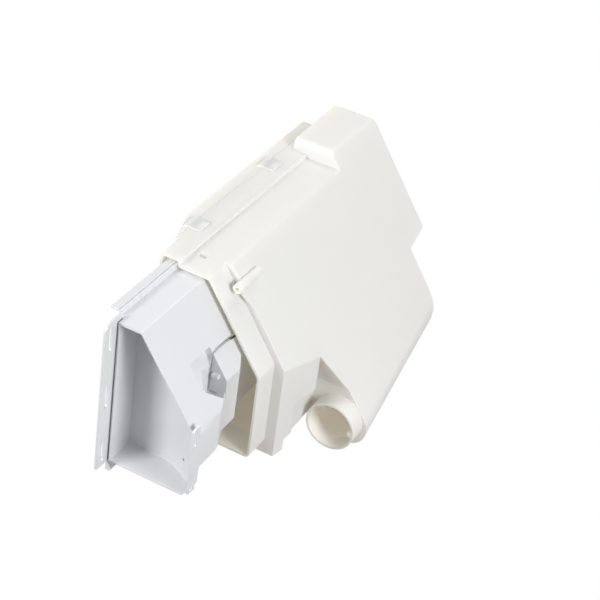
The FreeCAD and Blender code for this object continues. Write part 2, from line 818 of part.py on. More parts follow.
def belly(name, shrink, front, rear, left, top):
    """Deep part of the drawer: rounded underside that rises to the rear in two steps."""
    lift = shrink * slant_stretch
    floor = drawer_floor + shrink
    across = prism(f"{name}_across", "XZ", front, rear, [
        (drawer_right - shrink, top),
        (drawer_right - shrink, drawer_slope(drawer_right - shrink) + lift),
        ((floor - slope_clear - lift) / slant, floor),
        (left, floor), (left, top)],
        ((1, edge_round - shrink), (2, drawer_round - shrink), (3, edge_round - shrink)))
    along = prism(f"{name}_along", "YZ", left - BEYOND, drawer_right, [
        (front, top), (front, floor), (-size("cup_end"), floor),
        (-size("cup_rise_end"), size("mid_floor") + shrink),
        (-size("mid_end"), size("mid_floor") + shrink),
        (size("rear_rise_end"), size("rear_floor") + shrink),
        (rear, size("rear_floor") + shrink), (rear, top)], ((2, size("belly_round")),))
    return common(name, across, along)


cup_front = drawer_front + size("recess_foot")
frame_rear = cup_front + drawer_wall
drawer_frame = prism("drawer_frame", "XZ", drawer_front, frame_rear,
                     drawer_outline(ZERO, drawer_rim), ((1, edge_round),))
drawer_belly = belly("drawer_belly", ZERO, cup_front, drawer_rear, -step_side, drawer_rim)
softener_box = box("softener_box", (-drawer_left, cup_front, step_floor),
                   (-step_side + drawer_wall, drawer_rear, drawer_rim))
drawer_blank = fuse("drawer_blank", drawer_frame, drawer_belly, softener_box)
recess_top = drawer_rim - size("slit_height") * 2
recess = common(
    "recess",
    prism("recess_across", "XZ", drawer_front - BEYOND, back_wall,
          drawer_outline(drawer_wall, recess_top), ((1, edge_round - drawer_wall),)),
    prism("recess_along", "YZ", low, -low, [
        (drawer_front - BEYOND, low), (recess_foot, low), (recess_foot, drawer_floor),
        (back_wall, recess_knee), (back_wall, drawer_rim), (drawer_front - BEYOND, drawer_rim)],
        ((3, recess_round),)))
slit = box("slit", (-size("tongue_left") - BEYOND, drawer_front - BEYOND,
                    drawer_rim - size("slit_height")),
           (size("tongue_right") + BEYOND, drawer_front + size("slit_depth"), drawer_rim))
clip_holes = [
    rod(f"clip_hole_{number + 1}", "y",
        (-size("clip_hole_first") - size("clip_hole_pitch") * number, drawer_front,
         size("clip_hole_height")), size("recess_depth"), size("clip_hole"))
    for number in range(2)
]
behind_foot = recess_foot + drawer_wall
behind_wall = back_wall + drawer_wall
recess_skin = common(
    "recess_skin",
    prism("recess_skin_across", "XZ", recess_foot, behind_wall,
          drawer_outline(ZERO, drawer_rim), ((1, edge_round),)),
    prism("recess_skin_along", "YZ", -drawer_left, -step_side + drawer_wall, [
        (recess_foot - gap, drawer_floor), (behind_foot, drawer_floor), (behind_wall, recess_knee),
        (behind_wall, drawer_rim), (recess_foot - gap, drawer_rim)], ((2, recess_round),)))
inner_rear = drawer_rear - drawer_wall


open_top = drawer_rim + BEYOND * 3


def compartment(name, sides):
    """Space open at the top between two side walls, ending at the slanted back of the recess."""
    inside_length = prism(f"{name}_slot", "YZ", sides[0], sides[1], [
        (behind_foot, drawer_floor), (behind_wall, recess_knee), (behind_wall, open_top + BEYOND),
        (inner_rear, open_top + BEYOND), (inner_rear, drawer_floor)], ((1, recess_round),))
    inside_form = belly(f"{name}_belly", drawer_wall, cup_front, inner_rear,
                        -step_side + drawer_wall, open_top)
    return common(name, inside_length, inside_form)


divider = size("divider_side")
main_space = compartment("main_space", (divider + drawer_wall / 2, drawer_right))
middle_space = compartment("middle_space", (-step_side + drawer_wall, divider - drawer_wall / 2))
softener_space = box("softener_space",
                     (-drawer_left + drawer_wall, behind_wall, step_floor + drawer_wall),
                     (-step_side, inner_rear, drawer_rim + BEYOND))


# Catch pocket in the sloping side, with its walls standing into the middle compartment
def tilt(body):
    """Turn a body about Y so that its XY plane lies on the drawer's sloping side."""
    body.Placement = FreeCAD.Placement(FreeCAD.Vector(), FreeCAD.Rotation(FreeCAD.Vector(0, -1, 0), 30))
    body.setExpression("Placement.Rotation.Angle", f"atan({slant.text})")
    body.setExpression("Placement.Base.z", slope_clear.text)
    return body


def well_form(name, grow):
    """Well under the wire: outline on the sloping side, level roof, grown by a wall for its skin."""
    back = -size("pocket_back") + grow
    outline = prism(f"{name}_outline_form", "XY", -BEYOND, BEYOND * 8, [
        (size("well_high") + grow, back), (size("well_corner") - grow * 0.5, back),
        (size("well_low") - grow * 1.4, -size("well_low_front")),
        (size("well_front_along") - grow * 0.4, -size("well_front") - grow * 1.4),
        (size("well_high") + grow, -size("pocket_ramp_end") - grow * 1.4)])
    roof = box(f"{name}_roof", (-step_side, drawer_front, low),
               (drawer_right, drawer_rear, size("pocket_roof") + grow))
    return common(name, tilt(outline), roof)


def ramp_form(name, grow):
    """Shallow ramp from the sloping side down to the pocket's rear wall, drawn square to the slope."""
    body = prism(name, "YZ", size("ramp_low") - grow, size("ramp_high") + grow, [
        (-size("pocket_front") - grow, -BEYOND),
        (-size("pocket_front") - grow, size("ramp_start") + grow),
        (-size("pocket_ramp_end"), size("ramp_deep") + grow),
        (-size("pocket_back") + grow, size("ramp_deep") + grow),
        (-size("pocket_back") + grow, -BEYOND)])
    return tilt(body)


def sill_form(name, grow):
    """Upright foot of the pocket, open through the drawer's underside, grown by a wall for its skin."""
    return box(name, (-size("pocket_left") - grow, -size("pocket_ramp_end") - grow, low),
               (size("well_corner") + grow, -size("pocket_back") + grow, size("pocket_roof") + grow))


pocket = fuse("pocket", well_form("well", ZERO), ramp_form("ramp", ZERO), sill_form("sill", ZERO))
pocket_skin = fuse("pocket_skin", well_form("well_skin", drawer_wall),
                   ramp_form("ramp_skin", drawer_wall), sill_form("sill_skin", drawer_wall))
pocket_back = -size("pocket_back")
hook_roof = size("pocket_roof") - size("wire_radius") * 2 - size("wire_lift") * 2
wire_hook = box("wire_hook",
                (size("hook_side"), pocket_back - size("hook_out"), hook_roof - size("hook_drop")),
                (size("hook_side") + size("hook_width"), pocket_back + gap, hook_roof))
outlet_half = size("outlet_width") / 2
outlet_middle = box(
    "outlet_middle",
    ((-step_side + divider) / 2 - outlet_half, inner_rear - BEYOND, drawer_slope(divider)),
    ((-step_side + divider) / 2 + outlet_half, drawer_rear + BEYOND,
     drawer_slope(divider) + size("outlet_height")))
outlet_main = box(
    "outlet_main",
    (divider + drawer_wall, inner_rear - BEYOND, drawer_slope(drawer_right) + drawer_wall),
    (drawer_right - drawer_wall * 2, drawer_rear + BEYOND, drawer_rim - drawer_wall * 2))

# Runners on the rim, slotted tongues at the front and the siphon's standpipe
tongue_thick = size("tongue_thick")
runner_low = ledge_top + gap
runner_high = runner_low + size("runner_height")
lip = size("runner_lip")
runner_front = -size("runner_front")
runner_right = prism("runner_right", "XZ", runner_front, drawer_rear, [
    (drawer_right - drawer_wall, drawer_rim - gap),
    (drawer_right, drawer_rim - gap),
    (drawer_right, runner_low),
    (drawer_right + size("runner_reach"), runner_low),
    (drawer_right + size("runner_reach"), runner_high),
    (drawer_right + size("runner_reach") - lip, runner_high),
    (drawer_right + size("runner_reach") - lip, runner_low + lip),
    (drawer_right - drawer_wall, runner_low + lip)])
groove_low = runner_low + size("runner_groove_low")
runner_groove = box(
    "runner_groove", (drawer_right + size("runner_reach") - size("runner_groove"),
                      runner_front - BEYOND, groove_low),
    (drawer_right + size("runner_reach") + BEYOND, drawer_rear + BEYOND,
     groove_low + size("runner_groove")))
stop_top = drawer_rim + tongue_thick
stop = prism("stop", "XZ", drawer_front + gap * 4, drawer_front + size("stop_length"), [
    (-drawer_left + gap, stop_top), (-drawer_left + gap, stop_top - size("stop_height")),
    (-drawer_left - size("stop_reach") * 0.2, stop_top - size("stop_height")),
    (-drawer_left - size("stop_reach"), stop_top - size("stop_height") * 0.45),
    (-drawer_left - size("stop_reach"), stop_top)])
runner_left = prism("runner_left", "XZ", runner_front, drawer_rear, [
    (-drawer_left + drawer_wall, drawer_rim - gap),
    (-drawer_left + drawer_wall, runner_low + lip),
    (-drawer_left - size("runner_left_reach") + lip, runner_low + lip),
    (-drawer_left - size("runner_left_reach") + lip, runner_high),
    (-drawer_left - size("runner_left_reach"), runner_high),
    (-drawer_left - size("runner_left_reach"), runner_low),
    (-drawer_left, runner_low),
    (-drawer_left, drawer_rim - gap)])
tongue_front = drawer_front - size("tongue_reach")
tongue_round = size("tongue_round")
tongue_root = drawer_front + size("slit_depth") + drawer_wall * 2
top_tongue = prism("top_tongue", "XY", drawer_rim, drawer_rim + tongue_thick, [
    (size("tongue_right"), drawer_front + size("slit_depth") - gap),
    (drawer_right, drawer_front + size("slit_depth") - gap), (drawer_right, tongue_root),
    (-size("tongue_left"), tongue_root), (-size("tongue_left"), tongue_front),
    (size("tongue_right"), tongue_front)],
    ((4, edge_round), (5, tongue_round)))
low_tongue_top = drawer_floor + gap
low_tongue = prism("low_tongue", "XY", low_tongue_top - tongue_thick, low_tongue_top, [
    (size("low_tongue_right"), drawer_front + size("low_tongue_back")),
    (-size("low_tongue_left"), drawer_front + size("low_tongue_back")),
    (-size("low_tongue_left"), drawer_front - size("low_tongue_reach")),
    (size("low_tongue_right"), drawer_front - size("low_tongue_reach"))],
    ((2, edge_round), (3, edge_round)))


def long_slot(name, centre, back, base, length, width):
    """Make a round-ended slot through a tongue."""
    half = width / 2
    reach = length / 2 - half
    depth = tongue_thick + BEYOND * 2
    middle = box(f"{name}_middle", (centre - reach, back - half, base),
                 (centre + reach, back + half, base + depth))
    ends = [rod(f"{name}_end_{number}", "z", (centre + offset, back, base), depth, half)
            for number, offset in enumerate((-reach, reach), start=1)]
    return fuse(name, middle, *ends)


slots = [
    long_slot(f"slot_{number + 1}", size("slot_first") - size("slot_pitch") * number,
              drawer_front - size("slot_setback"), drawer_rim - BEYOND,
              size("slot_length"), size("slot_width"))
    for number in range(3)
] + [
    long_slot(f"low_slot_{number + 1}", -size("low_slot_first") - size("low_slot_pitch") * number,
              drawer_front - size("low_slot_setback"), drawer_floor - BEYOND,
              size("low_slot_length"), size("low_slot_width"))
    for number in range(2)
]
pipe_side = -(step_side + drawer_left) / 2
pipe_back = size("siphon_back")
pipe_top = step_floor + drawer_wall + size("pipe_height")
pipe = rod("pipe", "z", (pipe_side, pipe_back, step_floor), pipe_top - step_floor,
           size("pipe_radius"))
pipe_hole = rod("pipe_hole", "z", (pipe_side, pipe_back, step_floor - BEYOND),
                pipe_top - step_floor + BEYOND * 2, size("pipe_bore"))
plate_seat = pipe_top + size("cap_head")
cap_ledges = []
for name, near, far in (
        ("cap_ledge_left", -drawer_left + drawer_wall - gap,
         -drawer_left + drawer_wall + size("cap_ledge")),
        ("cap_ledge_right", -step_side - size("cap_ledge"), -step_side + gap)):
    cap_ledges.append(box(name, (near, size("cap_plate_front"), plate_seat - size("cap_ledge")),
                          (far, inner_rear + gap, plate_seat)))
drawer_spaces = fuse("drawer_spaces", main_space, middle_space, softener_space)
drawer_shell = cut("drawer_shell", drawer_blank,
                   fuse("drawer_outside", recess, slit,
                        cut("drawer_inside", drawer_spaces, pocket_skin)))
recess_wall = cut("recess_wall", recess_skin, recess)
drawer_form = fuse("drawer_form", drawer_shell, recess_wall, runner_right, runner_left, stop, top_tongue,
                   low_tongue, pipe, *cap_ledges)
drawer_cut = cut("drawer_cut", drawer_form,
                 fuse("drawer_holes", pocket, runner_groove, outlet_middle, outlet_main, pipe_hole,
                      *clip_holes, *slots))
drawer = fuse("drawer", drawer_cut, wire_hook)
drawer.Label = "drawer_body"

# Siphon cap: a plate on the compartment's ledges with a bell over the standpipe
cap_gap = size("cap_gap")
cap_plate = box("cap_plate",
                (-drawer_left + drawer_wall + cap_gap, size("cap_plate_front"), plate_seat),
                (-step_side - cap_gap, inner_rear - cap_gap, plate_seat + size("cap_plate_thick")))
bell_foot = step_floor + drawer_wall + size("cap_foot")
bell = rod("bell", "z", (pipe_side, pipe_back, bell_foot),
           plate_seat + size("cap_plate_thick") - bell_foot, size("cap_radius"))
bell_room = rod("bell_room", "z", (pipe_side, pipe_back, bell_foot - BEYOND),
                plate_seat - bell_foot + BEYOND, size("cap_radius") - size("cap_wall"))
cap = cut("cap", fuse("cap_form", cap_plate, bell), bell_room)
cap.Label = "siphon_cap"

# Catch wire: from a sleeved tip at the collar's rim along the slope and round the pocket
doc.recompute()
wire_radius = size("wire_radius").value


def off_slope(side, back, off):
    """Point of the wire's axis, a distance square off the drawer's sloping side."""
    return FreeCAD.Vector(side, back, drawer_slope(Size.of(side)).value - off * slant_stretch.value)


wire_back = pocket_back.value - wire_radius - size("wire_stand").value
wire_lift = size("wire_lift").value
wire_roof = size("pocket_roof").value - wire_radius - wire_lift
wire_left = -size("wire_left").value
tip_side = size("wire_tip_side").value
wire_points = [
    off_slope(tip_side, size("wire_tip_back").value, size("wire_tip_off").value),
    off_slope(tip_side, -size("wire_shoulder").value, wire_radius + wire_lift),
    FreeCAD.Vector(tip_side, wire_back, wire_roof),
    FreeCAD.Vector(wire_left, wire_back, wire_roof),
    FreeCAD.Vector(-size("wire_foot").value, wire_back, size("pocket_sill").value + wire_radius * 2),
]


def bent_wire(points, bend, radius):
    """Join straight round runs by round arcs."""
    pieces = []
    start = points[0]
    for before, corner, after in zip(points, points[1:], points[2:]):
        into = (before - corner).normalize()
        out = (after - corner).normalize()
        half = into.getAngle(out) / 2
        first = corner + into * (bend / math.tan(half))
        centre = corner + (into + out).normalize() * (bend / math.sin(half))
        pieces.append(Part.makeCylinder(radius, (first - start).Length, start, first - start))
        disc = Part.Face(Part.Wire(Part.makeCircle(radius, first, corner - first)))
        turn = 180 - math.degrees(half * 2)
        pieces.append(disc.revolve(centre, out.cross(into), turn))
        start = corner + out * (bend / math.tan(half))
    pieces.append(Part.makeCylinder(radius, (points[-1] - start).Length, start, points[-1] - start))
    return pieces[0].fuse(pieces[1:])


sleeve_line = (wire_points[1] - wire_points[0]).normalize()
sleeve = Part.makeCylinder(size("sleeve_radius").value, size("sleeve_length").value, wire_points[0],
                           sleeve_line)
wire = doc.addObject("Part::Feature", "wire")
wire.Shape = bent_wire(wire_points, size("wire_bend").value, wire_radius).fuse(sleeve).removeSplitter()
wire.Label = "catch_wire"

doc.recompute()
faults = [item.Label for item in doc.Objects if {"Invalid", "Error"} & set(item.State)]
nodes = (trough, cover, plate, drawer, cap, wire)
for node in nodes:
    if node.Shape.isNull() or not node.Shape.isValid():
        faults.append(f"{node.Label} shape")
if faults:
    raise RuntimeError(f"parts that did not build: {faults}")
os.makedirs("parts", exist_ok=True)
for node in nodes:
    print(node.Label, len(node.Shape.Solids), round(node.Shape.Volume / 1000, 2), "cm3")
    node.Shape.exportStep(f"parts/{node.Label}.step")
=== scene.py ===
"""Looks of a washing machine's detergent dispenser: moulded housing, cover and pull-out drawer.

Every object is in metres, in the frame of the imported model. The mouldings are soft-edged copies
of the solids, and the catch wire is drawn again as one smooth bend with its rubber sleeve.
"""
from __future__ import annotations

import logging
import math
from dataclasses import dataclass
from enum import Enum

import bmesh
import bpy
import numpy as np
from mathutils import Matrix, Vector
from mathutils.bvhtree import BVHTree
from mathutils.geometry import delaunay_2d_cdt, intersect_point_line
from mathutils.kdtree import KDTree


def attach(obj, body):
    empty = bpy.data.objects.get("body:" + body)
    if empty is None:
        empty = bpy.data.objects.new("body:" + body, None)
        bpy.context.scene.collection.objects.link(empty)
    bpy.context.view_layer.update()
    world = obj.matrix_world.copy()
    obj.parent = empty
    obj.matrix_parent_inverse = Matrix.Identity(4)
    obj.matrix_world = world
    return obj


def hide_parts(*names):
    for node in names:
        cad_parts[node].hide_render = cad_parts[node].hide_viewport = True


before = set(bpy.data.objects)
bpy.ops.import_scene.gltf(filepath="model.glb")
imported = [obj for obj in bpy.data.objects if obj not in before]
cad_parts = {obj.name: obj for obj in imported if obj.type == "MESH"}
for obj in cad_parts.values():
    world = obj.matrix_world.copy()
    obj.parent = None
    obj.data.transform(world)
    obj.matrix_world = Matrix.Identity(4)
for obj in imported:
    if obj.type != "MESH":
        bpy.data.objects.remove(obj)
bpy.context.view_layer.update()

MM = 0.001
log = logging.getLogger("dispenser")

Point = tuple[float, float, float]
Colour = tuple[float, float, float, float]

# The sRGB curve: a straight foot up to the knee, then a power.
SRGB_KNEE = 0.04045
SRGB_FOOT = 12.92
SRGB_OFFSET = 0.055
SRGB_POWER = 2.4

# A noise texture keeps mostly between these two values.
NOISE_LOW = 0.3
NOISE_HIGH = 0.7

# Faces with more sides than this are divided.
QUAD = 4

# Floors that keep divisions by a length, a sum of cosines and a bend finite.
LEAST_LENGTH = 1e-9
LEAST_SUM = 1e-6
LEAST_BEND = 1e-8

# Normals that agree to this many digits count once.
NORMAL_DIGITS = 3

# The triangulation keeps what lies inside an outline, and joins points closer than this.
INSIDE_ONLY = 1
OUTLINE_MEET_MM = 1e-4


def linear(code: str) -> Colour:
    """Turn an sRGB hex colour into linear RGBA.

    Args:
        code: Six hex digits, with or without a leading hash.

    Returns:
        The colour as linear red, green, blue and full alpha.
    """
    digits = code.lstrip("#")
    parts = [int(digits[i:i + 2], 16) / 255 for i in (0, 2, 4)]
    red, green, blue = [
        part / SRGB_FOOT if part <= SRGB_KNEE
        else ((part + SRGB_OFFSET) / (1 + SRGB_OFFSET)) ** SRGB_POWER for part in parts]
    return red, green, blue, 1.0


def add_node(tree: bpy.types.NodeTree, kind: str,
             settings: dict[str, object] | None = None,
             values: dict[str | int, object] | None = None,
             links: dict[str | int, bpy.types.NodeSocket] | None = None) -> bpy.types.Node:
    """Add a node with its settings, socket values and incoming links.

    Args:
        tree: The node tree that takes the node.
        kind: The node's type name.
        settings: Properties of the node itself.
        values: Values of input sockets, by name or index.
        links: Output sockets to join to input sockets, by name or index.

    Returns:
        The new node.
    """
    node = tree.nodes.new(kind)
    for name, value in (settings or {}).items():
        setattr(node, name, value)
    for name, value in (values or {}).items():
        node.inputs[name].default_value = value
    for name, socket in (links or {}).items():
        tree.links.new(socket, node.inputs[name])
    return node


def add_tint(tree: bpy.types.NodeTree, colour: str, second: str,
             share: bpy.types.NodeSocket) -> bpy.types.NodeSocket:
    """Blend two colours by a pattern.

    Args:
        tree: The node tree that takes the blend.
        colour: The sRGB hex colour where the pattern is 0.
        second: The sRGB hex colour where it is 1.
        share: The pattern.

    Returns:
        The blended colour.
    """
    blend = add_node(tree, "ShaderNodeMix", {"data_type": "RGBA"},
                     {"A": linear(colour), "B": linear(second)}, {"Factor": share})
    return blend.outputs["Result"]


def blank_material(name: str) -> bpy.types.Material:
    """Make a material with an empty node tree.

    Args:
        name: The material's name.

    Returns:
        The new material.
    """
    material = bpy.data.materials.new(name)
    material.use_nodes = True
    material.node_tree.nodes.clear()
    return material


def place_object(name: str, data: bpy.types.ID) -> bpy.types.Object:
    """Make an object and put it in the scene.

    Args:
        name: The object's name.
        data: Its mesh, curve, light or camera.

    Returns:
        The new object.
    """
    item = bpy.data.objects.new(name, data)
    bpy.context.scene.collection.objects.link(item)
    return item


def final_mesh(item: bpy.types.Object) -> bpy.types.Mesh:
    """Take the mesh that an object's curve or modifiers give.

    Args:
        item: The object, already in the scene.

    Returns:
        A mesh of its own.
    """
    view = bpy.context.evaluated_depsgraph_get()
    return bpy.data.meshes.new_from_object(item.evaluated_get(view))


class Body(Enum):
    """The bodies that the pieces move with."""

    HOUSING = "housing"
    DRAWER = "drawer"


class Skin(Enum):
    """The kinds of face on a rounded piece, by the slot that marks them while it is made."""

    FLAT = 0
    TURN = 1


@dataclass(frozen=True)
class Mottle:
    """An uneven pattern that runs through a material, with patches of about one size."""

    size_mm: float
    detail: float
    roughness: float = 0.5
    distortion: float = 0.0

    def add(self, tree: bpy.types.NodeTree, place: bpy.types.NodeSocket) -> bpy.types.NodeSocket:
        """Add the pattern to a material.

        Args:
            tree: The material's node tree.
            place: The coordinates that the pattern is fixed to.

        Returns:
            The pattern's value, from 0 to 1.
        """
        noise = add_node(tree, "ShaderNodeTexNoise",
                         values={"Scale": 1 / (self.size_mm * MM), "Detail": self.detail,
                                 "Roughness": self.roughness, "Distortion": self.distortion},
                         links={"Vector": place})
        return noise.outputs["Fac"]


@dataclass(frozen=True)
class MouldedPolypropylene:
    """Polypropylene, injection moulded in a spark-eroded steel mould.

    The eye sees a soft, even sheen from a fine grain, faint clouds where the melt flowed and
    cooled, and thin walls that let some light through, so hollow places glow warm.
    """

    name: str
    colour: str
    cloud_colour: str
    roughness: float = 0.42
    roughness_spread: float = 0.06
    ior: float = 1.49
    seep: float = 0.36
    seep_colour: str = "#FFF5E4"
    cloud: Mottle = Mottle(38.0, 3.0, roughness=0.55)
    flow: Mottle = Mottle(14.0, 4.0, distortion=0.8)
    # The real grain is about a tenth of a millimetre: drawn coarser, or it would not show.
    grain: Mottle = Mottle(0.9, 2.0, roughness=0.6)
    bump: float = 0.05
    bump_mm: float = 0.2

    def make(self) -> bpy.types.Material:
        """Build the material.

        Returns:
            A material with clouded colour, uneven gloss, a fine grain and light seeping through.
        """
        material = blank_material(self.name)
        tree = material.node_tree
        place = add_node(tree, "ShaderNodeTexCoord").outputs["Object"]
        tint = add_tint(tree, self.colour, self.cloud_colour, self.cloud.add(tree, place))
        gloss = add_node(tree, "ShaderNodeMapRange",
                         values={"From Min": NOISE_LOW, "From Max": NOISE_HIGH,
                                 "To Min": self.roughness - self.roughness_spread / 2,
                                 "To Max": self.roughness + self.roughness_spread / 2},
                         links={"Value": self.flow.add(tree, place)})
        relief = add_node(tree, "ShaderNodeBump",
                          values={"Strength": self.bump, "Distance": self.bump_mm * MM},
                          links={"Height": self.grain.add(tree, place)})
        surface = add_node(tree, "ShaderNodeBsdfPrincipled",
                           values={"IOR": self.ior},
                           links={"Base Color": tint,
                                  "Roughness": gloss.outputs["Result"],
                                  "Normal": relief.outputs["Normal"]})
        through = add_node(tree, "ShaderNodeBsdfTranslucent",
                           values={"Color": linear(self.seep_colour)})
        wall = add_node(tree, "ShaderNodeMixShader", values={"Fac": self.seep},
                        links={1: surface.outputs["BSDF"], 2: through.outputs["BSDF"]})
        add_node(tree, "ShaderNodeOutputMaterial", links={"Surface": wall.outputs["Shader"]})
        return material


@dataclass(frozen=True)
class DrawnSteel:
    """Spring steel wire, drawn through a die and bent cold.

    The eye sees a grey metal with narrow bright lines and a faint mottle.
    """

    name: str
    colour: str
    dark_colour: str
    roughness: float = 0.34
    roughness_spread: float = 0.16
    streak: Mottle = Mottle(0.5, 3.0)

    def make(self) -> bpy.types.Material:
        """Build the material.

        Returns:
            A metal with mottled grey and slightly uneven gloss.
        """
        material = blank_material(self.name)
        tree = material.node_tree
        place = add_node(tree, "ShaderNodeTexCoord").outputs["Object"]
        streak = self.streak.add(tree, place)
        gloss = add_node(tree, "ShaderNodeMapRange",
                         values={"To Min": self.roughness - self.roughness_spread / 2,
                                 "To Max": self.roughness + self.roughness_spread / 2},
                         links={"Value": streak})
        surface = add_node(tree, "ShaderNodeBsdfPrincipled", values={"Metallic": 1.0},
                           links={"Base Color": add_tint(tree, self.colour, self.dark_colour,
                                                         streak),
                                  "Roughness": gloss.outputs["Result"]})
        add_node(tree, "ShaderNodeOutputMaterial", links={"Surface": surface.outputs["BSDF"]})
        return material


@dataclass(frozen=True)
class ExtrudedRubber:
    """Synthetic rubber sleeve, extruded and cut to length.

    The eye sees a near-black, dull surface with a slight bloom.
    """

    name: str
    colour: str
    bloom_colour: str
    roughness: float = 0.62
    ior: float = 1.52
    bloom: Mottle = Mottle(1.4, 4.0)
    bump: float = 0.1
    bump_mm: float = 0.1

    def make(self) -> bpy.types.Material:
        """Build the material.

        Returns:
            A dull black with a faint grey bloom and a fine skin.
        """
        material = blank_material(self.name)
        tree = material.node_tree
        place = add_node(tree, "ShaderNodeTexCoord").outputs["Object"]
        bloom = self.bloom.add(tree, place)
        relief = add_node(tree, "ShaderNodeBump",
                          values={"Strength": self.bump, "Distance": self.bump_mm * MM},
                          links={"Height": bloom})
        surface = add_node(tree, "ShaderNodeBsdfPrincipled",
                           values={"Roughness": self.roughness, "IOR": self.ior},
                           links={"Base Color": add_tint(tree, self.colour, self.bloom_colour,
                                                         bloom),
                                  "Normal": relief.outputs["Normal"]})
        add_node(tree, "ShaderNodeOutputMaterial", links={"Surface": surface.outputs["BSDF"]})
        return material


@dataclass(frozen=True)
class PaintedBoard:
    """A board painted with flat emulsion.

    The eye sees an even, dull white that stays behind the piece.
    """

    name: str
    colour: str
    roughness: float = 0.8

    def make(self) -> bpy.types.Material:
        """Build the material.

        Returns:
            A dull, even white.
        """
        material = blank_material(self.name)
        tree = material.node_tree
        surface = add_node(tree, "ShaderNodeBsdfPrincipled",
                           values={"Base Color": linear(self.colour),
                                   "Roughness": self.roughness})
        add_node(tree, "ShaderNodeOutputMaterial", links={"Surface": surface.outputs["BSDF"]})
        return material


# A clean white that turns cream where light comes through the wall.
HOUSING_WHITE = MouldedPolypropylene("polypropylene_moulded_white", "#F8FCFF", "#F5F9FC")
# A cool pale grey, glossier than the housing and nearly opaque.
DRAWER_GREY = MouldedPolypropylene("polypropylene_moulded_pale_grey", "#E1E2E4", "#DDDEE1",
                                   roughness=0.36, seep=0.03, seep_colour="#F4F4F2")
# Bright drawn wire, a little dull from handling.
WIRE_STEEL = DrawnSteel("spring_steel_drawn", "#C6C8CB", "#A3A5A9")
# Near-black, so that the tip stands out from the pale drawer.
SLEEVE_RUBBER = ExtrudedRubber("rubber_extruded_black", "#17181A", "#26272A")
# A pale, plain floor.
FLOOR_WHITE = PaintedBoard("painted_board_white", "#F6F6F6")


